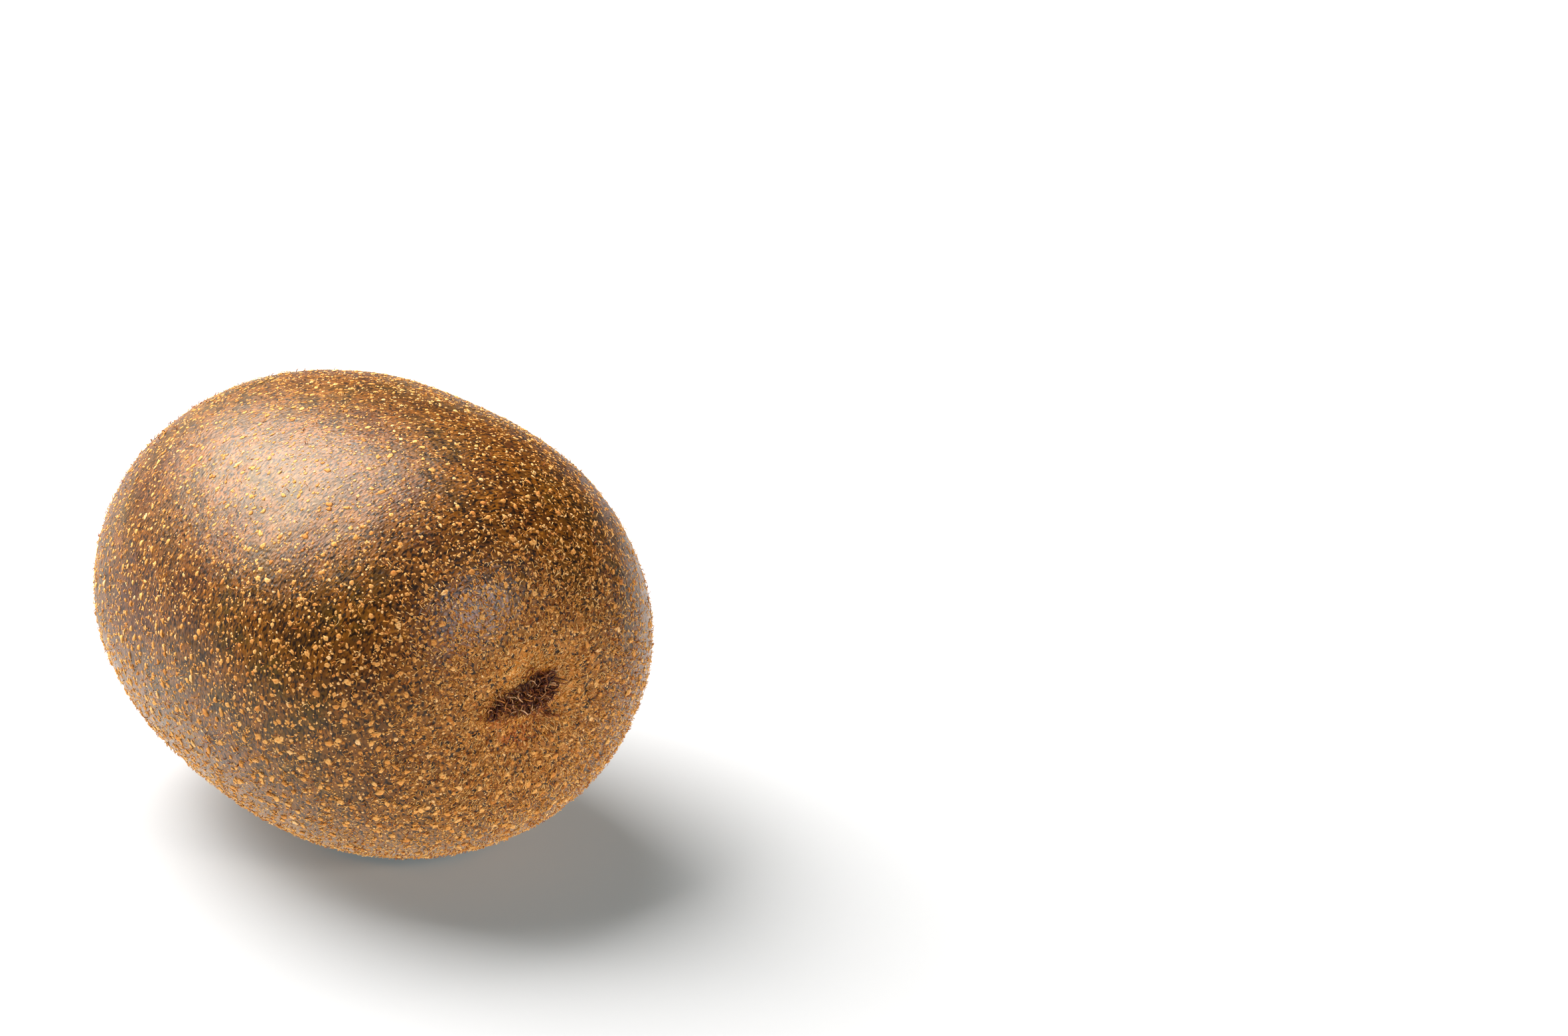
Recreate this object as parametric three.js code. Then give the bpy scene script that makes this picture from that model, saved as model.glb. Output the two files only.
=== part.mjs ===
// A golden kiwi fruit lying on its side: one solid, in millimetres, +Z up.
// The long axis runs along X, with the dried blossom tuft at +X and the stalk scar at -X.
// The origin is on the surface that the fruit rests on, under the middle of its box.
import * as THREE from 'three';
import { mergeVertices } from 'three/addons/utils/BufferGeometryUtils.js';

// Body
const LENGTH = 66; // end to end along X, before the ends dip
const WIDTH = 52; // across along Y, the broad side
const HEIGHT = 48; // along Z, the flatter side, before the rest spot
const TUFT_END_BLUNTNESS = 2.4; // exponent of the outline: 2 is an ellipse, more is blunter
const STALK_END_BLUNTNESS = 2.55;
const TAPER = 0.042; // how much the tuft end is fuller than the middle
const REST_DEPTH = 0.6; // how far the belly is pressed flat where the fruit rests

// Blossom end: a shallow oval pit with a low ridge of dried styles in it
const TUFT_TILT = THREE.MathUtils.degToRad(15); // the ridge's slant from Y towards +Z
const TUFT_PIT_DEPTH = 1.2;
const TUFT_PIT_HALF_LENGTH = 6.5;
const TUFT_PIT_HALF_WIDTH = 4.6;
const TUFT_RIDGE_HEIGHT = 0.9;
const TUFT_RIDGE_HALF_LENGTH = 4;
const TUFT_RIDGE_HALF_WIDTH = 1.5;

// Stalk end: a round pit with the raised rim and sunk middle of the stalk scar
const STALK_PIT_DEPTH = 1.3;
const STALK_PIT_RADIUS = 7;
const STALK_RIM_HEIGHT = 0.8;
const STALK_RIM_RADIUS = 3.2;
const STALK_RIM_HALF_WIDTH = 0.9;

// Facets
const ROWS = 48; // from end to end
const SEGMENTS = 60; // round the girth
const ROW_CROWDING = 0.75; // 0 spaces the rows evenly, 1 draws them all to the ends
const MERGE_DISTANCE = 1e-4;

// Half of the fruit's outline, from the stalk end to the tuft end: a blunt oval in polar form,
// |x/a|^n + |r/b|^n = 1, with the rows drawn together towards both ends.
function outlinePoint(row) {
  const share = row / ROWS;
  const crowding = ROW_CROWDING * Math.sin(2 * Math.PI * share) / (2 * Math.PI);
  const angle = Math.PI * (1 - share + crowding);
  const along = Math.cos(angle);
  const out = row === 0 || row === ROWS ? 0 : Math.sin(angle);
  const bluntness = along > 0 ? TUFT_END_BLUNTNESS : STALK_END_BLUNTNESS;
  const lengthTerm = Math.abs(2 * along / LENGTH) ** bluntness;
  const widthTerm = (2 * out / WIDTH) ** bluntness;
  const reach = (lengthTerm + widthTerm) ** (-1 / bluntness);
  const x = reach * along;
  const fullness = 1 + 2 * TAPER * x / LENGTH;
  return new THREE.Vector2(reach * out * fullness, x);
}

// Smooth round hump: 1 in the middle, fading out past a distance of 1.
function hump(distance) {
  return Math.exp(-distance * distance);
}

// How far the blossom end stands out along X at a place across it.
function tuftEndRelief(y, z) {
  const u = y * Math.cos(TUFT_TILT) + z * Math.sin(TUFT_TILT);
  const v = z * Math.cos(TUFT_TILT) - y * Math.sin(TUFT_TILT);
  const pit = hump(Math.hypot(u / TUFT_PIT_HALF_LENGTH, v / TUFT_PIT_HALF_WIDTH));
  const across = Math.hypot(u / TUFT_RIDGE_HALF_LENGTH, v / TUFT_RIDGE_HALF_WIDTH);
  return TUFT_RIDGE_HEIGHT * hump(across * across) - TUFT_PIT_DEPTH * pit;
}

// How far the stalk end stands out along -X at a place across it.
function stalkEndRelief(y, z) {
  const radius = Math.hypot(y, z);
  const pit = hump(radius / STALK_PIT_RADIUS);
  const rim = hump((radius - STALK_RIM_RADIUS) / STALK_RIM_HALF_WIDTH);
  return STALK_RIM_HEIGHT * rim - STALK_PIT_DEPTH * pit;
}

// The outline turned round the long axis, made oval, dipped at both ends and pressed flat below.
function fruitGeometry() {
  const outline = Array.from({ length: ROWS + 1 }, (_, row) => outlinePoint(row));
  const turned = new THREE.LatheGeometry(outline, SEGMENTS);
  turned.deleteAttribute('normal');
  turned.deleteAttribute('uv');
  const geometry = mergeVertices(turned, MERGE_DISTANCE);
  const position = geometry.attributes.position;
  const axisHeight = HEIGHT / 2 - REST_DEPTH;
  for (let i = 0; i < position.count; i += 1) {
    const x = position.getY(i);
    const y = position.getZ(i);
    const z = position.getX(i) * HEIGHT / WIDTH;
    const relief = x > 0 ? tuftEndRelief(y, z) : -stalkEndRelief(y, z);
    position.setXYZ(i, x + relief, y, Math.max(0, z + axisHeight));
  }
  geometry.computeBoundingBox();
  const middle = geometry.boundingBox.getCenter(new THREE.Vector3());
  geometry.translate(-middle.x, -middle.y, 0);
  geometry.computeVertexNormals();
  return geometry;
}

const skin = new THREE.MeshStandardMaterial({ color: '#7b5a2b', roughness: 0.6, metalness: 0 });
const fruit = new THREE.Mesh(fruitGeometry(), skin);
fruit.name = 'fruit';

const kiwi = new THREE.Group();
kiwi.add(fruit);

export default kiwi;
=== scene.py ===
import math

import bpy
import numpy as np
from mathutils import Matrix, Vector


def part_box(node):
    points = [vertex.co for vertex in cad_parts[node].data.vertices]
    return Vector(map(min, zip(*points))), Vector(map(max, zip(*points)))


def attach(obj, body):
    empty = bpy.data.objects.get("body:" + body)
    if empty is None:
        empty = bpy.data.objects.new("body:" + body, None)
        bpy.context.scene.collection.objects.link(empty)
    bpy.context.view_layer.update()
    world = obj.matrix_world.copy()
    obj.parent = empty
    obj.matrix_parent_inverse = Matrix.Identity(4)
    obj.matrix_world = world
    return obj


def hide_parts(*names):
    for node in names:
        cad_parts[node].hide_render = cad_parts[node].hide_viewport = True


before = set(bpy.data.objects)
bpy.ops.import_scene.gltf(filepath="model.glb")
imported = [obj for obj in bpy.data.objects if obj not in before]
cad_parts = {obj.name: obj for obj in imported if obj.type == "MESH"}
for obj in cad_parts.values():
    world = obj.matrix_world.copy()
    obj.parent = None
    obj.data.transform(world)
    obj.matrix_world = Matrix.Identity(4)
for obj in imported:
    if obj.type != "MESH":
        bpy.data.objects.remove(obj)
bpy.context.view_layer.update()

MM = 0.001

# The body, by the driving sizes of its solid
BODY_LENGTH = 66 * MM
BODY_WIDTH = 52 * MM
BODY_HEIGHT = 48 * MM
TUFT_END_BLUNTNESS = 2.4
STALK_END_BLUNTNESS = 2.55
TAPER = 0.042
REST_DEPTH = 0.6 * MM
AXIS_HEIGHT = BODY_HEIGHT / 2 - REST_DEPTH
SKIN_LENGTH = 1.35 * BODY_LENGTH  # about the way over the skin from end to end
BARE_HEIGHT = 0.1 * MM  # nothing grows lower, on the spot that the fruit rests on

TUFT_TILT = math.radians(15)
TUFT_PIT_DEPTH = 1.2 * MM
TUFT_PIT_HALF_LENGTH = 6.5 * MM
TUFT_PIT_HALF_WIDTH = 4.6 * MM
TUFT_RIDGE_HEIGHT = 0.9 * MM
TUFT_RIDGE_HALF_LENGTH = 4 * MM
TUFT_RIDGE_HALF_WIDTH = 1.5 * MM

STALK_PIT_DEPTH = 1.3 * MM
STALK_PIT_RADIUS = 7 * MM
STALK_RIM_HEIGHT = 0.8 * MM
STALK_RIM_RADIUS = 3.2 * MM
STALK_RIM_HALF_WIDTH = 0.9 * MM

# The peel: its mesh, and its soft swells as (height and size in millimetres, seed)
PEEL_ROWS = 236
PEEL_COLUMNS = 400
PEEL_SWELLS = ((0.12, 11, 31), (0.05, 3.5, 32), (0.035, 1.3, 33))

# Marks round the tuft, as (Y, Z, half size along Y, half size along Z, strength) in millimetres from the
# middle of the end: dark clumps of dried styles, golden pads of fuzz, which on the upper slope are partly
# painted light, and rusty spots.
DARK_CLUMPS = ((1.4, 1.6, 1.9, 1.5, 1.0), (-0.5, 0.0, 1.9, 1.25, 1.0), (-2.6, 0.4, 1.1, 0.75, 0.9),
               (-3.9, 0.0, 1.1, 0.75, 0.8), (2.4, -2.1, 1.0, 0.9, 0.45))
GOLD_AND_PAINTED_LIGHT_PADS = ((-1.9, 2.8, 2.0, 1.3, 0.6), (0.3, 4.4, 3.2, 2.2, 0.6), (3.8, 2.5, 1.8, 2.0, 0.5),
               (4.6, -0.2, 1.6, 2.0, 0.6), (0.0, 0.0, 8.5, 8.0, 0.6))
RUSTY_SPOTS = ((-1.5, -3.2, 2.2, 1.5, 1.0), (-3.7, -1.1, 1.2, 0.8, 0.8), (1.0, -1.2, 0.9, 0.6, 1.0),
               (0.4, 1.1, 0.6, 0.5, 0.8))

# Corky specks: radii are (median, least, most) in millimetres, drawn log-normally
SPECK_COUNT = 6200
SPECK_JITTER = 0.45 * MM
SPECK_RADII = (0.22, 0.11, 0.38)
RADIUS_SPREAD = 0.3

# Hairs: (least, most) thickness in millimetres. Real ones are finer than the render shows, so they
# are drawn about twice as thick.
FUZZ_THICKNESS = (0.07, 0.12)
CURLED_HAIR_THICKNESS = (0.06, 0.11)
DRIED_STRAND_THICKNESS = (0.12, 0.24)
CURLED_HAIR_COUNT = 2200

# The photograph's view: where the fruit's middle is seen, how far off, and from which side
IMAGE_WIDTH, IMAGE_HEIGHT = 2362, 1561
LENS_MM, SENSOR_MM = 100, 36
FRUIT_PIXEL = (553.4, 913.7)
FRUIT_DEPTH = 468.3 * MM
VIEW_AZIMUTH = math.radians(54.4)
VIEW_PITCH = math.radians(20.5)
FLOOR_HALF_WIDTH = 3.0

BAKE_MAP = "OFBake"
GOLDEN_ANGLE = math.pi * (3 - math.sqrt(5))
LATTICE_VALUES = 4096  # a power of two
LATTICE_PRIMES = (73856093, 19349663, 83492791)  # large, to scatter the corners over those values
TINY = 1e-12  # keeps a length of nothing from being divided by


# Fields

def hump(distance):
    """Smooth round hump: exp(-distance squared), 1 in the middle and fading out past 1."""
    return np.exp(-distance * distance)


def smooth_step(low, high, value):
    """0 below low, 1 above high, and the cubic 3t^2 - 2t^3 between them."""
    t = np.clip((value - low) / (high - low), 0, 1)
    return t * t * (3 - 2 * t)


def lumps(points, size, seed):
    """Smooth random field from about -1 to 1: a random value at each corner of a cubic lattice of
    the given size, blended inside each cube by the cubic step along x, y and z."""
    table = np.random.default_rng(seed).uniform(-1, 1, LATTICE_VALUES)
    scaled = points / size
    cell = np.floor(scaled).astype(np.int64)
    part = scaled - cell
    part = part * part * (3 - 2 * part)
    total = np.zeros(points.shape[:-1])
    for corner in np.ndindex(2, 2, 2):
        key = (cell + corner) * LATTICE_PRIMES
        value = table[(key[..., 0] ^ key[..., 1] ^ key[..., 2]) & (LATTICE_VALUES - 1)]
        weight = np.prod(np.where(corner, part, 1 - part), axis=-1)
        total += value * weight
    return total


# The body as a surface of two parameters

def across_tuft(y, z):
    """Places across the tuft end, turned to run along the ridge of dried styles and across it."""
    along = y * math.cos(TUFT_TILT) + z * math.sin(TUFT_TILT)
    across = z * math.cos(TUFT_TILT) - y * math.sin(TUFT_TILT)
    return along, across


def tuft_relief(y, z):
    """The tuft end's height over the blunt oval: an oval hump taken away, a flat-topped one added."""
    along, across = across_tuft(y, z)
    pit = hump(np.hypot(along / TUFT_PIT_HALF_LENGTH, across / TUFT_PIT_HALF_WIDTH))
    ridge = np.hypot(along / TUFT_RIDGE_HALF_LENGTH, across / TUFT_RIDGE_HALF_WIDTH)
    return TUFT_RIDGE_HEIGHT * hump(ridge * ridge) - TUFT_PIT_DEPTH * pit


def stalk_relief(y, z):
    """The stalk end's height over the blunt oval: a round hump taken away, a ring added."""
    radius = np.hypot(y, z)
    rim = hump((radius - STALK_RIM_RADIUS) / STALK_RIM_HALF_WIDTH)
    return STALK_RIM_HEIGHT * rim - STALK_PIT_DEPTH * hump(radius / STALK_PIT_RADIUS)


def oval(share, girth):
    """Fruit about its own middle: |x/a|^n + |r/b|^n = 1 in polar form, where share turns the polar
    angle from the stalk end at 0 to the tuft end at 1, and girth goes round from the crown to +Y."""
    angle = np.pi * (1 - share)
    along = np.cos(angle)
    out = np.sin(angle)
    bluntness = np.where(along > 0, TUFT_END_BLUNTNESS, STALK_END_BLUNTNESS)
    length_term = np.abs(2 * along / BODY_LENGTH) ** bluntness
    width_term = np.abs(2 * out / BODY_WIDTH) ** bluntness
    reach = (length_term + width_term) ** (-1 / bluntness)
    x = reach * along
    radius = reach * out * (1 + 2 * TAPER * x / BODY_LENGTH)
    y = radius * np.sin(girth)
    z = radius * np.cos(girth) * BODY_HEIGHT / BODY_WIDTH
    x = x + np.where(x > 0, tuft_relief(y, z), -stalk_relief(y, z))
    return np.stack([x, y, z], axis=-1)


def middle_of_body():
    """The oval's own middle in the row frame: at the axis's height, and along X where the oval's span
    has the same middle as the solid's box."""
    share, girth = np.meshgrid(np.linspace(0, 1, 801), np.linspace(0, 2 * np.pi, 60))
    span = oval(share, girth)[..., 0]
    low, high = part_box("fruit")
    return np.array([(low.x + high.x) / 2 - (span.max() + span.min()) / 2, 0, AXIS_HEIGHT])


BODY_MIDDLE = middle_of_body()


def body(share, girth):
    """Place on the smooth fruit in the row frame, before the belly is pressed flat."""
    return oval(share, girth) + BODY_MIDDLE


def relief(points):
    """How far the peel stands off the smooth body: the sum of its swells, in metres."""
    swell = sum(height * lumps(points, size * MM, seed) for height, size, seed in PEEL_SWELLS)
    return swell * MM


def body_frame(share, girth):
    """Place on the peel, outward normal, lengthwise tangent and the area that a unit of share times
    girth holds. Tangents are central differences of the smooth body, the normal is their cross
    product, and the place is pushed along it by the peel's relief."""
    step = 1e-4
    lengthwise = (body(share + step, girth) - body(share - step, girth)) / (2 * step)
    around = (body(share, girth + step) - body(share, girth - step)) / (2 * step)
    normal = np.cross(lengthwise, around)
    area = np.linalg.norm(normal, axis=-1)
    length = np.linalg.norm(lengthwise, axis=-1, keepdims=True)
    normal = normal / area[..., None]
    place = body(share, girth)
    return place + normal * relief(place)[..., None], normal, lengthwise / length, area


def from_tuft(points):
    """Distance of each point from the middle of the tuft end."""
    return np.linalg.norm(points - BODY_MIDDLE - (BODY_LENGTH / 2, 0, 0), axis=-1)


def from_stalk(points):
    """Distance of each point from the middle of the stalk end."""
    return np.linalg.norm(points - BODY_MIDDLE + (BODY_LENGTH / 2, 0, 0), axis=-1)


def tuft_marks(points, marks):
    """Sum of the humps of these marks at each point, on the tuft end alone."""
    x, y, z = (points - BODY_MIDDLE).T
    total = np.zeros(len(points))
    for middle_y, middle_z, half_y, half_z, strength in marks:
        total += strength * hump(np.hypot((y / MM - middle_y) / half_y, (z / MM - middle_z) / half_z))
    return total * smooth_step(0, BODY_LENGTH / 4, x)


# Where things grow: each crowding function gives a share per area at each point

def random_places(rng, count, crowding, tries):
    """Places, normals and lengthwise tangents drawn at random out of so many tries all over the
    fruit, as many per area as crowding says for each place."""
    share = np.arccos(rng.uniform(-0.9999, 0.9999, tries)) / np.pi
    girth = rng.uniform(0, 2 * np.pi, tries)
    place, _, _, area = body_frame(share, girth)
    chance = area / np.sin(np.pi * share) * crowding(place) * (place[:, 2] > BARE_HEIGHT)
    picked = rng.choice(len(share), size=count, replace=False, p=chance / chance.sum())
    return body_frame(share[picked], girth[picked])[:3]


def even_places(rng, count, jitter, crowding):
    """Places, normals and lengthwise tangents spread evenly: a golden-angle spiral over equal areas,
    each then nudged by jitter and kept with the chance that crowding gives."""
    first, last = 0.004, 0.996
    line = np.linspace(first, last, 1500)
    round_line = np.linspace(0, 2 * np.pi, 24, endpoint=False)
    area = body_frame(*np.meshgrid(line, round_line))[3].mean(axis=0)
    filled = np.cumsum(area) / area.sum()
    order = np.arange(count)
    share = np.interp((order + 0.5) / count, filled, line)
    girth = order * GOLDEN_ANGLE
    radius = np.linalg.norm((body(share, girth) - BODY_MIDDLE)[:, 1:], axis=-1)
    share = share + rng.normal(0, jitter, count) / SKIN_LENGTH
    girth = girth + rng.normal(0, jitter, count) / np.maximum(radius, 1 * MM)
    place, normal, lengthwise, _ = body_frame(np.clip(share, first, last), girth)
    kept = (place[:, 2] > BARE_HEIGHT) & (rng.uniform(0, 1, count) < crowding(place))
    return place[kept], normal[kept], lengthwise[kept]


def off_scars(points):
    """Even all over, but nothing on the dried scars of both ends: specks and crumbs."""
    x, y, z = (points - BODY_MIDDLE).T
    on_stalk_scar = hump(np.hypot(y, z) / STALK_RIM_RADIUS) * (x < 0)
    return 1 - smooth_step(0.15, 0.5, on_stalk_scar + tuft_marks(points, DARK_CLUMPS))


def on_rough_skin(points):
    """More on the lower half and towards both ends: fine grains."""
    z = points[:, 2] - AXIS_HEIGHT
    lower = smooth_step(-0.3, 0.6, -2 * z / BODY_HEIGHT)
    ends = hump(from_tuft(points) / (22 * MM)) + 0.4 * hump(from_stalk(points) / (22 * MM))
    return (0.1 + lower + ends) * off_scars(points)


def round_tuft(points):
    """Thinning out from the middle of the blossom end: its coarser grains."""
    return hump(from_tuft(points) / (9.5 * MM)) * off_scars(points)


def near_tuft(points):
    """Thinning out from the middle of the blossom end, and none on the dark clumps: its fuzz."""
    off_clumps = 1 - smooth_step(0.1, 0.6, tuft_marks(points, DARK_CLUMPS))
    return hump(from_tuft(points) / (10 * MM)) * off_clumps


def near_stalk(points):
    """Thinning out from the middle of the stalk end: its fuzz."""
    return hump(from_stalk(points) / (11 * MM))


def on_belly(points):
    """Growing from half way down, more towards the tuft: the belly's fuzz."""
    x, _, z = (points - BODY_MIDDLE).T
    lower = smooth_step(-0.25, 0.6, -2 * z / BODY_HEIGHT)
    return 0.03 + lower * (0.35 + 0.65 * smooth_step(-0.25, 0.3, x / BODY_LENGTH))


def round_scar(points):
    """A band along the edge of the dark clumps: the fringe round the dried styles."""
    marks = tuft_marks(points, DARK_CLUMPS)
    return marks * hump((marks - 0.45) / 0.4)


def on_scar(points):
    """Most in the middle of the dark clumps: the dried styles."""
    return smooth_step(0.25, 0.9, tuft_marks(points, DARK_CLUMPS))


def on_stalk_rim(points):
    """In clumps along the rim of the stalk scar: torn fibres."""
    x, y, z = (points - BODY_MIDDLE).T
    ring = (np.hypot(y, z) - STALK_RIM_RADIUS) / STALK_RIM_HALF_WIDTH
    return hump(ring) * (x < 0) * smooth_step(-0.4, 0.6, lumps(points, 2 * MM, 26))


# Meshes from whole arrays

def add_piece(name, points, faces, uv, material, zones=None):
    """A smooth-shaded mesh of triangles that rides on the fruit: points (n, 3), faces (m, 3), the bake
    map's places per corner (m, 3, 2), and where given a colour per point that marks its zones."""
    mesh = bpy.data.meshes.new(name)
    mesh.vertices.add(len(points))
    mesh.vertices.foreach_set("co", np.ascontiguousarray(points, np.float32).ravel())
    mesh.loops.add(faces.size)
    mesh.loops.foreach_set("vertex_index", np.ascontiguousarray(faces, np.int32).ravel())
    mesh.polygons.add(len(faces))
    mesh.polygons.foreach_set("loop_start", np.arange(0, faces.size, 3, dtype=np.int32))
    mesh.polygons.foreach_set("use_smooth", np.ones(len(faces), bool))
    mesh.update(calc_edges=True)
    layer = mesh.uv_layers.new(name=BAKE_MAP)
    layer.uv.foreach_set("vector", np.ascontiguousarray(uv, np.float32).ravel())
    if zones is not None:
        colour = mesh.color_attributes.new("zones", "FLOAT_COLOR", "POINT")
        colour.data.foreach_set("color", np.ascontiguousarray(zones, np.float32).ravel())
    mesh.materials.append(material)
    piece = bpy.data.objects.new(name, mesh)
    bpy.context.scene.collection.objects.link(piece)
    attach(piece, "root")
    return piece


def add_repeats(name, points, shape, tone, around, along, material):
    """One piece of many like shapes, kept above the floor: points (count, points each, 3), and the
    faces of one shape. The bake map's first axis is each shape's tone, with a narrow width for what
    lies around the shape, and its second axis is along, both given per corner of the shape."""
    count, points_each, _ = points.shape
    offset = np.arange(count)[:, None, None] * points_each
    faces = (shape[None] + offset).reshape(-1, 3)
    u = 0.02 + 0.9 * tone[:, None, None] + 0.06 * around[None]
    v = np.broadcast_to(along, u.shape)
    points = points.reshape(-1, 3)
    points[:, 2] = np.maximum(points[:, 2], 0)
    add_piece(name, points, faces, np.stack([u, v], -1), material)


# Colours and nodes

def linear(hex_colour):
    """Linear RGBA from an sRGB hex colour, by the sRGB curve."""
    srgb = np.array([int(hex_colour[i:i + 2], 16) for i in (1, 3, 5)]) / 255
    rgb = np.where(srgb <= 0.04045, srgb / 12.92, ((srgb + 0.055) / 1.055) ** 2.4)
    return (*rgb, 1.0)


def add_node(tree, kind, inputs=None, stops=None, **settings):
    """Adds a node: settings are its own properties, inputs are constants or sockets by name or
    number, and stops are a colour ramp's places and hex colours."""
    node = tree.nodes.new(kind)
    for name, value in settings.items():
        setattr(node, name, value)
    for key, value in (inputs or {}).items():
        if isinstance(value, bpy.types.NodeSocket):
            tree.links.new(value, node.inputs[key])
        else:
            node.inputs[key].default_value = value
    for number, (place, colour) in enumerate(stops or []):
        elements = node.color_ramp.elements
        element = elements[number] if number < len(elements) else elements.new(place)
        element.position = place
        element.color = linear(colour)
    return node


def new_material(name):
    """An empty node material and its tree."""
    material = bpy.data.materials.new(name)
    material.use_nodes = True
    material.node_tree.nodes.clear()
    return material, material.node_tree


def finish_material(tree, **sockets):
    """The principled shader with these sockets, and the output."""
    names = {name.replace("_", " "): value for name, value in sockets.items()}
    shader = add_node(tree, "ShaderNodeBsdfPrincipled", names)
    add_node(tree, "ShaderNodeOutputMaterial", {"Surface": shader.outputs[0]})


def skin_pattern(tree, lengthwise, round_girth, detail, low=0.0, high=1.0):
    """Soft random spots of these two sizes, as a value that is 0 where the noise is at low and 1 where
    it is at high."""
    place = add_node(tree, "ShaderNodeTexCoord").outputs["Object"]
    scale = (1 / lengthwise, 1 / round_girth, 1 / round_girth)
    stretched = add_node(tree, "ShaderNodeMapping", {"Vector": place, "Scale": scale}).outputs[0]
    inputs = {"Vector": stretched, "Scale": 1.0, "Detail": detail}
    noise = add_node(tree, "ShaderNodeTexNoise", inputs).outputs[0]
    limits = {"Value": noise, "From Min": low, "From Max": high}
    return add_node(tree, "ShaderNodeMapRange", limits).outputs[0]


def peel_material():
    """Kiwi peel: thin, dry and leathery, olive to brown, finely pebbled, with a soft broad gloss."""
    material, tree = new_material("kiwi_peel")
    zones = add_node(tree, "ShaderNodeVertexColor", layer_name="zones").outputs
    # The red channel is partly painted light on the upper slope of the tuft end.
    gold_and_painted_light, scar, fuzz = add_node(tree, "ShaderNodeSeparateColor", {0: zones["Color"]}).outputs
    rust = zones["Alpha"]

    # Brown skin, and what lies over it from the bottom up. The streaks and the dark pits between the
    # specks are finer on the real peel, and are drawn about twice as coarse so that they show. The pits'
    # near-black is painted shade in the small hollows.
    blotches = skin_pattern(tree, 12 * MM, 12 * MM, 2.0, 0.4, 0.62)
    mottle = skin_pattern(tree, 2.4 * MM, 2.4 * MM, 4.0, 0.42, 0.62)
    streaks = skin_pattern(tree, 0.35 * MM, 0.6 * MM, 1.0, 0.58, 0.72)
    painted_pit_shade = skin_pattern(tree, 0.24 * MM, 0.5 * MM, 1.0, 0.52, 0.38)
    # The fuzz layer's lighter brown is partly painted light on the lower half.
    layers = ((blotches, "#463203"), (mottle, "#6e4008"), (fuzz, "#845618"), (streaks, "#8a5a1c"),
              (gold_and_painted_light, "#b87420"), (rust, "#a85616"), (painted_pit_shade, "#1a0b02"), (scar, "#381508"))
    colour = linear("#4e2805")
    for share, layer_colour in layers:
        inputs = {0: share, 6: colour, 7: linear(layer_colour)}
        colour = add_node(tree, "ShaderNodeMix", inputs, data_type="RGBA").outputs[2]

    # Rounded pebbles between fine wrinkles
    place = add_node(tree, "ShaderNodeTexCoord").outputs["Object"]
    pebbles = add_node(tree, "ShaderNodeTexVoronoi", {"Vector": place, "Scale": 1 / (0.34 * MM)},
                       feature="SMOOTH_F1").outputs["Distance"]
    wrinkles = skin_pattern(tree, 0.2 * MM, 0.6 * MM, 1.0)
    height = add_node(tree, "ShaderNodeMath", {0: wrinkles, 1: pebbles}, operation="SUBTRACT").outputs[0]
    relief_inputs = {"Strength": 0.6, "Distance": 0.07 * MM, "Height": height}
    bump = add_node(tree, "ShaderNodeBump", relief_inputs).outputs[0]

    # A waxy gloss that varies a little, and dull scars
    waxy_inputs = {"Value": skin_pattern(tree, 1.1 * MM, 1.1 * MM, 2.0), "To Min": 0.31, "To Max": 0.47}
    waxy = add_node(tree, "ShaderNodeMapRange", waxy_inputs).outputs[0]
    rough = add_node(tree, "ShaderNodeMapRange", {"Value": scar, "To Min": waxy, "To Max": 0.9}).outputs[0]
    finish_material(tree, Base_Color=colour, Roughness=rough, IOR=1.36, Normal=bump,
                    Specular_Tint=linear("#faeada"))
    return material


def tone_axes(tree, stops):
    """The colour of each shape's tone by these stops, and the value of the bake map's second axis."""
    spot = add_node(tree, "ShaderNodeUVMap", uv_map=BAKE_MAP).outputs[0]
    axes = add_node(tree, "ShaderNodeSeparateXYZ", {0: spot}).outputs
    return add_node(tree, "ShaderNodeValToRGB", {0: axes[0]}, stops=stops).outputs[0], axes[1]


def cork_material():
    """Cork of the lenticels: dull and crumbly, with an orange core, a paler tan ring round it and a
    brown edge."""
    material, tree = new_material("corky_lenticels")
    tone, depth = tone_axes(tree, [
        (0.0, "#9e6024"), (0.35, "#c48a44"), (0.7, "#d8a862"), (1.0, "#ecca98")])
    past_edge = add_node(tree, "ShaderNodeMapRange", {"Value": depth, "From Max": 0.35}).outputs[0]
    core_inputs = {"Value": depth, "From Min": 0.5, "To Max": 0.8}
    in_core = add_node(tree, "ShaderNodeMapRange", core_inputs).outputs[0]
    edged_inputs = {0: past_edge, 6: linear("#7a4510"), 7: tone}
    edged = add_node(tree, "ShaderNodeMix", edged_inputs, data_type="RGBA").outputs[2]
    cored_inputs = {0: in_core, 6: edged, 7: linear("#ba681f")}
    cored = add_node(tree, "ShaderNodeMix", cored_inputs, data_type="RGBA").outputs[2]
    finish_material(tree, Base_Color=cored, Roughness=0.85, IOR=1.3)
    return material


def hair_material(name, stops):
    """Dry plant hair: its own tone out of these stops, with painted shade that makes it half as bright at
    its root, and a soft sheen.
    """
    material, tree = new_material(name)
    tone, along = tone_axes(tree, stops)
    # Painted shade: darker towards the root, where the hair lies against the peel.
    root_inputs = {"Value": along, "From Max": 0.3, "To Min": 0.5}
    root = add_node(tree, "ShaderNodeMapRange", root_inputs).outputs[0]
    painted_root_shade = add_node(tree, "ShaderNodeCombineColor", {0: root, 1: root, 2: root}).outputs[0]
    colour = add_node(tree, "ShaderNodeMix", {0: 1.0, 6: tone, 7: painted_root_shade}, data_type="RGBA",
                      blend_type="MULTIPLY").outputs[2]
    finish_material(tree, Base_Color=colour, Roughness=0.6, IOR=1.33)
    return material


# Peel

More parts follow.
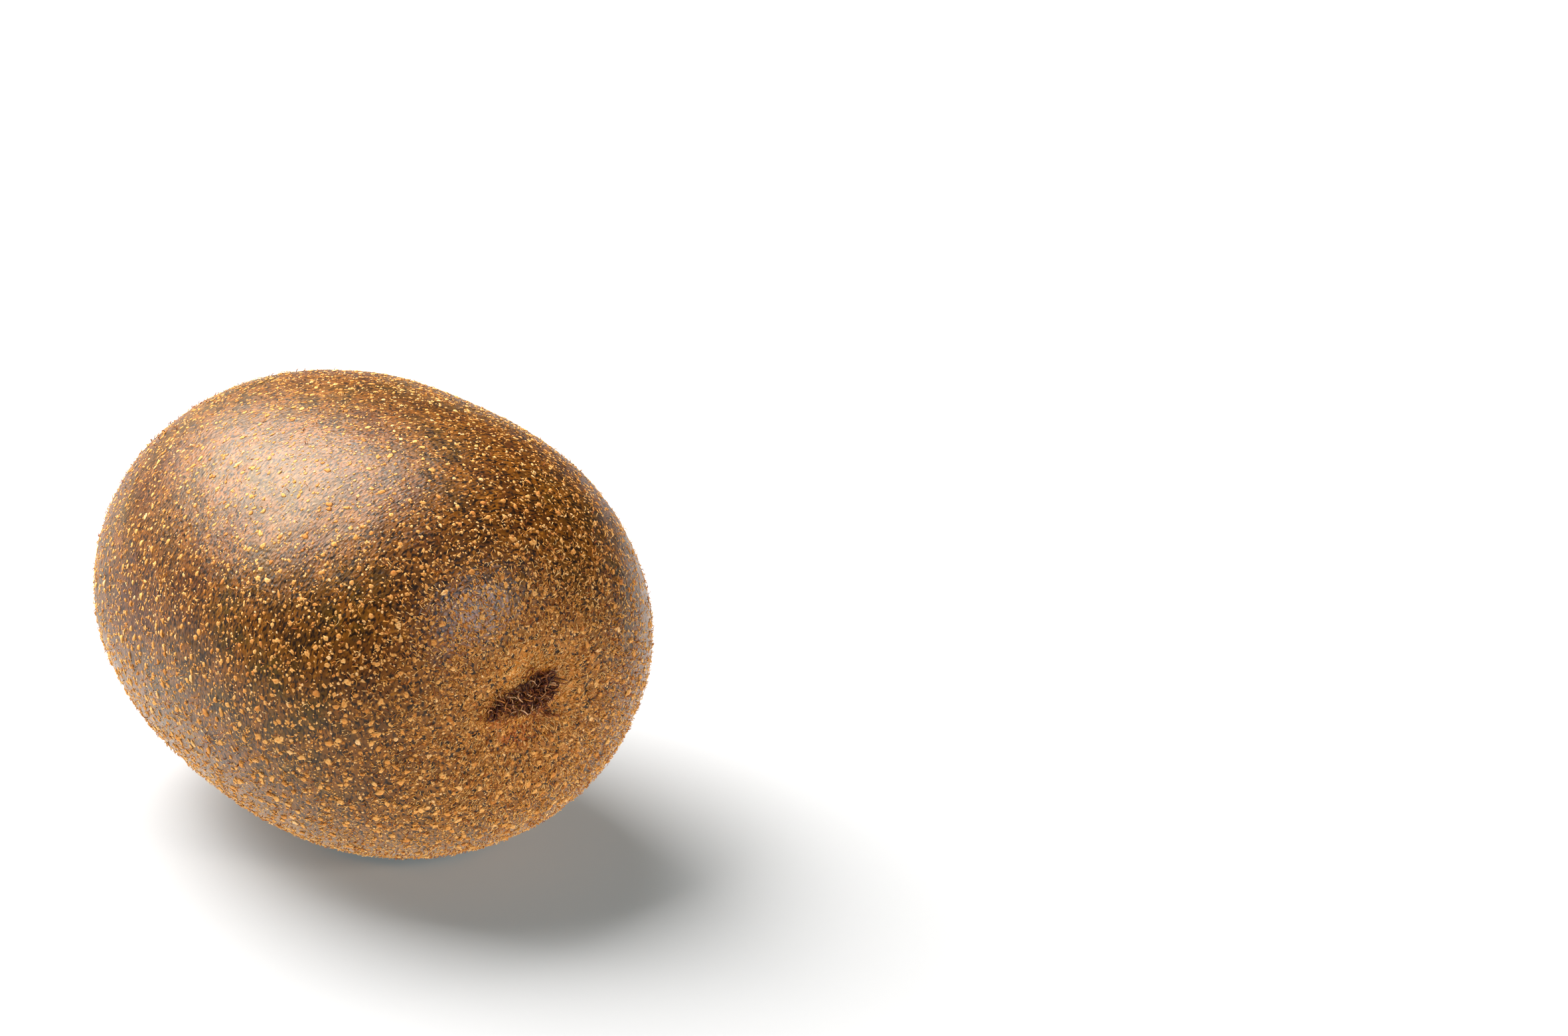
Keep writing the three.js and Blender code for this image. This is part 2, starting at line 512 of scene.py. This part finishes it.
def zone_colours(points):
    """Red marks the golden ends, which on the upper slope of the tuft end is partly painted light; green
    the dark scars; blue where fine fuzz covers the peel (both ends and the belly), which on the lower half
    is partly painted light, as if sent up from the floor; and the fourth value the rusty spots. All are
    sums of humps with edges roughened by lumps."""
    x, y, z = (points - BODY_MIDDLE).T
    stalk_side = smooth_step(0, BODY_LENGTH / 4, -x)
    rough_edge = 0.6 * lumps(points, 1.1 * MM, 21) + 0.4 * lumps(points, 0.5 * MM, 22)

    ring = (np.hypot(y, z) - STALK_RIM_RADIUS) / STALK_RIM_HALF_WIDTH
    # Golden pads: partly real golden fuzz, partly painted light on the upper slope of the tuft end.
    gold_and_painted_light = tuft_marks(points, GOLD_AND_PAINTED_LIGHT_PADS) * (1 + 0.5 * rough_edge)
    gold_and_painted_light = gold_and_painted_light + 0.1 * stalk_side * hump(np.hypot(y, z) / (8 * MM) + 0.15 * rough_edge)
    scar = 0.95 * smooth_step(0.3, 0.9, tuft_marks(points, DARK_CLUMPS) + 0.7 * rough_edge)
    scar = scar + stalk_side * hump(ring + 0.8 * rough_edge) * smooth_step(-0.5, 0.3, rough_edge + 0.1)
    rust = tuft_marks(points, RUSTY_SPOTS) * (1 + 0.4 * rough_edge)

    fuzz = 0.8 * hump(from_tuft(points) / (11 * MM)) + 0.2 * hump(from_stalk(points) / (16 * MM))
    # On the lower half this share is partly fine fuzz and partly painted light, as if sent up from the
    # floor.
    fuzz = fuzz + 0.8 * smooth_step(0.15, 0.85, -2 * z / BODY_HEIGHT) + 0.12 * lumps(points, 6 * MM, 23)
    return np.clip(np.stack([0.8 * gold_and_painted_light, scar, 0.85 * fuzz, rust], axis=-1), 0, 1)


def make_peel(rows=PEEL_ROWS, columns=PEEL_COLUMNS):
    """The peel: its places on a grid of share and girth, with a point at each end, pressed flat
    where the fruit rests. Its bake map is the same grid, with a seam at the crown."""
    share = np.arange(1, rows) / rows
    girth = 2 * np.pi * np.arange(columns) / columns
    place = body_frame(*np.meshgrid(share, girth, indexing="ij"))[0].reshape(-1, 3)
    ends = body(np.array([0.0, 1.0]), np.zeros(2))
    ends[:, 0] += (-1, 1) * relief(ends)
    points = np.concatenate([place, ends])
    points[:, 2] = np.maximum(points[:, 2], 0)

    ring = np.arange(columns)
    following = (ring + 1) % columns
    start = np.arange(rows - 2)[:, None] * columns
    corner = [start + ring, start + following, start + columns + following, start + columns + ring]
    sides = np.concatenate([np.stack([corner[a], corner[b], corner[c]], -1).reshape(-1, 3)
                            for a, b, c in ((0, 2, 1), (0, 3, 2))])
    first = len(points) - 2
    last = len(points) - 1
    top = (rows - 2) * columns
    stalk_fan = np.stack([np.full(columns, first), ring, following], -1)
    tuft_fan = np.stack([np.full(columns, last), top + following, top + ring], -1)
    faces = np.concatenate([sides, stalk_fan, tuft_fan])

    column = np.concatenate([np.tile(ring, rows - 1), [0, 0]])[faces].astype(float)
    row = np.concatenate([np.repeat(np.arange(1, rows), columns), [0, rows]])[faces]
    is_end = faces >= first
    wraps = (column.max(axis=1, keepdims=True) == columns - 1) & (column == 0) & ~is_end
    column = np.where(wraps, columns, column)
    others = np.where(is_end, 0, column).sum(axis=1, keepdims=True) / 2
    column = np.where(is_end, others, column)
    uv = np.stack([column / columns, row / rows], axis=-1)
    peel = add_piece("peel", points, faces, uv, peel_material(), zone_colours(points))
    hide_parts("fruit")


# Corky specks

def make_specks(name, rng, places, radius, height, sides, rings, core, tone, material):
    """Low crumbly domes: each is a top point, rings of uneven radius and height, and a sunk bottom
    point. A ring at fraction f of the radius stands at height 1.12 - f^2, and the last is sunk. The
    top dips the more, and shows the more of the orange core, the larger core is. Tone goes from 0,
    brown, to 1, pale."""
    place, normal, lengthwise = places
    count = len(place)
    turn = rng.uniform(0, np.pi, count)
    side = np.cross(normal, lengthwise)
    first = lengthwise * np.cos(turn)[:, None] + side * np.sin(turn)[:, None]
    second = np.cross(normal, first)
    stretch = np.exp(rng.normal(0, 0.18, count))[:, None, None]

    angle = 2 * np.pi * np.arange(sides) / sides
    part = (np.arange(rings) + 1) / rings
    uneven_radius = rng.uniform(0.6, 1.4, (count, rings, sides))
    uneven_height = rng.uniform(0.65, 1.35, (count, rings, sides))
    spread = radius[:, None, None] * part[:, None] * uneven_radius
    rise = (1.12 - part ** 2)[:, None] * uneven_height - 0.35 * (part == 1)[:, None]
    lift = height[:, None, None] * rise
    along_first = spread * stretch * np.cos(angle)
    along_second = spread / stretch * np.sin(angle)
    ring_points = (place[:, None, None] + first[:, None, None] * along_first[..., None]
                   + second[:, None, None] * along_second[..., None]
                   + normal[:, None, None] * lift[..., None])
    top = place + normal * ((1.3 - 0.6 * core) * height * rng.uniform(0.8, 1.2, count))[:, None]
    bottom = place - normal * (0.6 * height)[:, None]
    points = np.concatenate([top[:, None], bottom[:, None], ring_points.reshape(count, -1, 3)], axis=1)

    ring = np.arange(sides)
    after = (ring + 1) % sides
    last = 2 + (rings - 1) * sides
    faces = [np.stack([np.zeros(sides, int), 2 + ring, 2 + after], -1),
             np.stack([np.ones(sides, int), last + after, last + ring], -1)]
    for number in range(rings - 1):
        inner = 2 + number * sides
        outer = inner + sides
        faces.append(np.stack([inner + ring, outer + ring, outer + after], -1))
        faces.append(np.stack([inner + ring, outer + after, inner + after], -1))
    shape = np.concatenate(faces)

    depth = np.concatenate([[core, 0.0], np.repeat(core * (1 - part), sides)])[shape]
    around = np.concatenate([[0.5, 0.5], np.tile(np.arange(sides) / sides, rings)])[shape]
    add_repeats(name, points, shape, tone, around, 0.02 + 0.96 * depth, material)


def speck_radii(rng, count, radii):
    """Radii in metres, drawn log-normally about the median and kept between the least and the most."""
    median, least, most = radii
    return np.clip(rng.lognormal(math.log(median), RADIUS_SPREAD, count), least, most) * MM


def make_cork_specks(material):
    """The specks that show one by one, spread evenly, larger and steeper on the lower half. Returns
    their places."""
    rng = np.random.default_rng(41)
    places = even_places(rng, SPECK_COUNT, SPECK_JITTER, off_scars)
    count = len(places[0])
    radius = speck_radii(rng, count, SPECK_RADII)
    lowness = smooth_step(-0.5, 0.3, 1 - places[0][:, 2] / AXIS_HEIGHT)
    radius *= 1 + 0.3 * lowness
    height = (0.24 + 0.16 * lowness) * radius
    tone = rng.beta(2.0, 2.3, count)
    make_specks("cork_specks", rng, places, radius, height, 8, 2, 1.0, tone, material)
    return places


def make_grains(name, seed, crowding, count, tries, radii, steepness, core, tones, material):
    """Plain grains of cork between the specks, drawn at random by crowding out of so many tries. Their
    height is steepness times their radius, and tones are the two exponents of a beta draw."""
    rng = np.random.default_rng(seed)
    places = random_places(rng, count, crowding, tries)
    radius = speck_radii(rng, count, radii)
    tone = rng.beta(*tones, count)
    make_specks(name, rng, places, radius, steepness * radius, 6, 1, core, tone, material)


# Hairs

def make_hairs(name, rng, places, lean, length, thickness, curl, rise, knots, tone, material):
    """Three-sided tapering hairs of so many knots. Each leaves its root along the direction lean, turns
    by the angle curl over its length in the plane of the skin with a small wave, and rises by rise
    times the sine of its way. Tone goes from 0, dark, to 1, pale."""
    place, normal, _ = places
    count = len(place)
    way = np.linspace(0, 1, knots)
    side = np.cross(normal, lean)
    wave = rng.normal(0, 0.45, (count, 1)) * np.sin(2.5 * np.pi * way + rng.uniform(0, 6, (count, 1)))
    angle = curl[:, None] * (way - 0.5) + wave
    step = length[:, None] / (knots - 1)
    forward = np.cumsum(np.cos(angle) * step, axis=1) - np.cos(angle[:, :1]) * step
    sideways = np.cumsum(np.sin(angle) * step, axis=1) - np.sin(angle[:, :1]) * step
    up = rise[:, None] * np.sin(0.5 * np.pi * (0.15 + 1.2 * way)) - 0.3 * rise[:, None] * (way == 0)
    path = (place[:, None] + lean[:, None] * forward[..., None] + side[:, None] * sideways[..., None]
            + normal[:, None] * up[..., None])

    ahead = np.gradient(path, axis=1)
    ahead /= np.linalg.norm(ahead, axis=-1, keepdims=True) + TINY
    flat = np.cross(ahead, normal[:, None])
    flat /= np.linalg.norm(flat, axis=-1, keepdims=True) + TINY
    raised = np.cross(flat, ahead)
    radius = 0.5 * thickness[:, None] * np.sqrt(1 - 0.85 * way)
    turn = 2 * np.pi * np.arange(3) / 3 + np.pi / 2
    rings = (path[:, :-1, None] + radius[:, :-1, None, None]
             * (flat[:, :-1, None] * np.cos(turn)[:, None] + raised[:, :-1, None] * np.sin(turn)[:, None]))
    points = np.concatenate([rings.reshape(count, -1, 3), path[:, -1:]], axis=1)

    ring = np.arange(3)
    after = (ring + 1) % 3
    tip = 3 * (knots - 1)
    start = (3 * np.arange(knots - 2))[:, None]
    a, b, c, d = (q.ravel() for q in (start + ring, start + after, start + 3 + after, start + 3 + ring))
    sides = np.concatenate([np.stack([a, c, b], -1), np.stack([a, d, c], -1)])
    end = np.stack([tip - 3 + ring, np.full(3, tip), tip - 3 + after], -1)
    shape = np.concatenate([sides, end, [[0, 1, 2]]])

    along = np.concatenate([np.repeat(way[:-1], 3), [1.0]])[shape]
    along[-1] += (0, 0, 0.02)  # gives the root's face an area on the bake map
    around = np.concatenate([np.tile(np.arange(3), knots - 1), [1]])[shape] / 3
    add_repeats(name, points, shape, tone, around, 0.01 + 0.97 * along, material)


def turned(rng, normal, direction, spread):
    """A direction laid in the skin and turned about the normal by a random angle of that spread."""
    flat = direction - normal * (direction * normal).sum(-1, keepdims=True)
    flat /= np.linalg.norm(flat, axis=-1, keepdims=True) + TINY
    angle = rng.normal(0, spread, len(normal))[:, None]
    return flat * np.cos(angle) + np.cross(normal, flat) * np.sin(angle)


def make_fuzz(name, seed, crowding, count, length, paleness, material):
    """Short dense fuzz, as many hairs per area as crowding says, combed away from the nearer end. Its
    tone is drawn about paleness, and follows the marks round the tuft."""
    rng = np.random.default_rng(seed)
    places = random_places(rng, count, crowding, 120000)
    place, normal, _ = places
    end_x = np.where(place[:, 0] > 0, BODY_LENGTH, -BODY_LENGTH) / 2
    outward = place - BODY_MIDDLE
    outward[:, 0] -= end_x
    lean = turned(rng, normal, outward, 0.75)
    length = rng.uniform(0.6, 1.3, count) * length
    thickness = rng.uniform(*FUZZ_THICKNESS, count) * MM
    curl = rng.normal(0, 1.3, count)
    rise = rng.uniform(0.1, 0.3, count) * MM
    tone = rng.normal(paleness, 0.38, count)
    # Paler hair on the golden pads, partly painted light on the upper slope of the tuft end.
    tone = tone + 0.25 * tuft_marks(place, GOLD_AND_PAINTED_LIGHT_PADS) - 0.5 * tuft_marks(place, RUSTY_SPOTS)
    tone = np.clip(tone - 0.2 * tuft_marks(place, DARK_CLUMPS), 0, 1)
    make_hairs(name, rng, places, lean, length, thickness, curl, rise, 4, tone, material)


def make_curled_hairs(material, specks):
    """Longer curled hairs that lie flat beside the specks all over the fruit, more of them towards
    both ends and on the belly."""
    rng = np.random.default_rng(71)
    count = CURLED_HAIR_COUNT
    height = (specks[0][:, 2] - BODY_MIDDLE[2]) / (BODY_HEIGHT / 2)
    chance = 0.2 + hump(from_tuft(specks[0]) / (34 * MM)) + hump(from_stalk(specks[0]) / (26 * MM))
    chance = chance * (1.3 - 0.7 * height)
    root = rng.choice(len(chance), size=count, p=chance / chance.sum())
    place, normal, lengthwise = (part[root] for part in specks)
    lean = turned(rng, normal, lengthwise, 3.0)
    place = place + lean * (rng.uniform(0.05, 0.5, count) * MM)[:, None]
    length = rng.uniform(0.4, 1.1, count) * MM
    thickness = rng.uniform(*CURLED_HAIR_THICKNESS, count) * MM
    curl = rng.normal(0, 2.0, count)
    rise = rng.uniform(0.06, 0.22, count) * MM
    tone = np.clip(rng.normal(0.5, 0.24, count), 0, 1)
    places = (place, normal, lengthwise)
    make_hairs("curled_hairs", rng, places, lean, length, thickness, curl, rise, 5, tone, material)


def make_dried_strands(name, seed, crowding, count, length, paleness, material):
    """Dried dark strands that stand and curl, as many per area as crowding says: the styles of the
    tuft, and the torn fibres round the stalk scar. Their tone goes up to paleness."""
    rng = np.random.default_rng(seed)
    places = random_places(rng, count, crowding, 500000)
    lean = turned(rng, places[1], places[2], 3.0)
    length = rng.uniform(0.5, 1.4, count) * length
    thickness = rng.uniform(*DRIED_STRAND_THICKNESS, count) * MM
    curl = rng.normal(0, 2.2, count)
    rise = rng.uniform(0.2, 0.8, count) * MM
    tone = paleness * rng.beta(0.7, 0.9, count)
    make_hairs(name, rng, places, lean, length, thickness, curl, rise, 6, tone, material)


# Studio

def view_directions():
    """Level directions to the right and ahead, as the camera sees them."""
    right = Vector((math.cos(VIEW_AZIMUTH), math.sin(VIEW_AZIMUTH), 0))
    ahead = Vector((-math.sin(VIEW_AZIMUTH), math.cos(VIEW_AZIMUTH), 0))
    return right, ahead


def make_camera():
    """A camera that sees the fruit's middle at FRUIT_PIXEL, FRUIT_DEPTH in front of its lens."""
    right, ahead = view_directions()
    up = Vector((0, 0, math.cos(VIEW_PITCH))) + ahead * math.sin(VIEW_PITCH)
    back = right.cross(up)
    focal = IMAGE_WIDTH * LENS_MM / SENSOR_MM
    aside = (FRUIT_PIXEL[0] - IMAGE_WIDTH / 2) / focal * FRUIT_DEPTH
    above = (IMAGE_HEIGHT / 2 - FRUIT_PIXEL[1]) / focal * FRUIT_DEPTH
    data = bpy.data.cameras.new("photo_camera")
    data.lens = LENS_MM
    data.sensor_width = SENSOR_MM
    data.sensor_fit = "HORIZONTAL"
    data.clip_start = 10 * MM
    camera = bpy.data.objects.new("photo_camera", data)
    place = Vector(BODY_MIDDLE) - right * aside - up * above + back * FRUIT_DEPTH
    axes = Matrix((right, up, back)).transposed()
    camera.matrix_world = Matrix.Translation(place) @ axes.to_4x4()
    bpy.context.scene.collection.objects.link(camera)
    bpy.context.scene.camera = camera


def make_floor():
    """A plain pale board, with a faint glow of its own that keeps it white."""
    half = FLOOR_HALF_WIDTH
    corners = [(-half, -half, 0), (half, -half, 0), (half, half, 0), (-half, half, 0)]
    mesh = bpy.data.meshes.new("floor")
    mesh.from_pydata(corners, [], [(0, 1, 2, 3)])
    material, tree = new_material("matt_white_board")
    finish_material(tree, Base_Color=linear("#9a9da2"), Roughness=0.9, Specular_IOR_Level=0.1,
                    Emission_Color=linear("#eafbff"), Emission_Strength=0.16)
    mesh.materials.append(material)
    floor = bpy.data.objects.new("floor", mesh)
    bpy.context.scene.collection.objects.link(floor)


def add_softbox(name, place, size, power, colour, aim=None, diffuse=True, gloss=True):
    """A square soft light of this size in metres and power in watts. Its place is in metres to the
    right of the fruit's middle, ahead of it and above it, as the camera sees it. It faces the fruit,
    or the direction aim. Without diffuse it only gives gloss, and without gloss it gives none."""
    right, ahead = view_directions()
    offset = right * place[0] + ahead * place[1] + Vector((0, 0, place[2]))
    data = bpy.data.lights.new(name, "AREA")
    data.shape = "SQUARE"
    data.size = size
    data.energy = power
    data.color = linear(colour)[:3]
    light = bpy.data.objects.new(name, data)
    light.location = Vector(BODY_MIDDLE) + offset
    light.rotation_euler = (-Vector(aim) if aim else offset).to_track_quat("Z", "Y").to_euler()
    light.visible_camera = False
    light.visible_diffuse = diffuse
    light.visible_glossy = gloss
    bpy.context.scene.collection.objects.link(light)


def make_lights():
    """A large key light behind on the left and a small cool-glossed one in front on the right, each
    split into its light and its gloss, a weak one that shines up from the floor like light sent back
    by a white table, and faint pale light from all round."""
    side_place = (0.6, -0.58, 0.35)
    under_place = (0.08, -0.05, 1 * MM - AXIS_HEIGHT)
    add_softbox("key_light", (-0.46, 0.4, 0.74), 1.0, 51, "#fff8f0", gloss=False)
    add_softbox("key_gloss", (-0.47, 0.3, 0.73), 0.88, 40, "#fffaf2", diffuse=False)
    add_softbox("side_light", side_place, 0.16, 3.2, "#fff0dc", gloss=False)
    add_softbox("side_gloss", side_place, 0.16, 9.5, "#dce6ff", diffuse=False)
    add_softbox("under_light", under_place, 0.3, 0.34, "#fff6ea", aim=(0, 0, 1))

    world = bpy.data.worlds.new("studio")
    world.use_nodes = True
    background = world.node_tree.nodes["Background"]
    background.inputs["Color"].default_value = linear("#fff8ee")
    background.inputs["Strength"].default_value = 0.08
    bpy.context.scene.world = world
    bpy.context.scene.view_settings.view_transform = "Standard"


make_camera()
make_floor()
make_lights()
make_peel()

cork = cork_material()
speck_places = make_cork_specks(cork)
make_grains("cork_crumbs", 42, off_scars, count=16000, tries=60000, radii=(0.125, 0.06, 0.22),
            steepness=0.4, core=0.6, tones=(2.4, 1.6), material=cork)
make_grains("cork_grains", 43, on_rough_skin, count=16000, tries=60000, radii=(0.12, 0.05, 0.2),
            steepness=0.38, core=0.6, tones=(2.4, 1.8), material=cork)
make_grains("tuft_grains", 44, round_tuft, count=3600, tries=120000, radii=(0.14, 0.07, 0.24),
            steepness=0.6, core=0.85, tones=(2.0, 2.2), material=cork)

tan_hair = hair_material("tan_plant_hair", [
    (0.0, "#8a430c"), (0.25, "#b26c20"), (0.6, "#d6983e"), (1.0, "#ecc888")])
make_fuzz("fuzz_tuft_end", 61, near_tuft, count=5200, length=0.65 * MM, paleness=0.5, material=tan_hair)
make_fuzz("fuzz_stalk_end", 62, near_stalk, count=6000, length=0.7 * MM, paleness=0.15, material=tan_hair)
make_fuzz("fuzz_belly", 63, on_belly, count=6000, length=0.45 * MM, paleness=0.5, material=tan_hair)
make_fuzz("tuft_fringe", 64, round_scar, count=500, length=1.0 * MM, paleness=0.5, material=tan_hair)
make_curled_hairs(tan_hair, speck_places)

dried = hair_material("dried_plant_strands", [
    (0.0, "#341204"), (0.4, "#743810"), (0.75, "#bc7a3a"), (1.0, "#f0cca4")])
make_dried_strands("dried_styles", 81, on_scar, count=220, length=1.4 * MM, paleness=1.0, material=dried)
make_dried_strands("stalk_fibres", 82, on_stalk_rim, count=300, length=1.1 * MM, paleness=0.6,
                   material=dried)
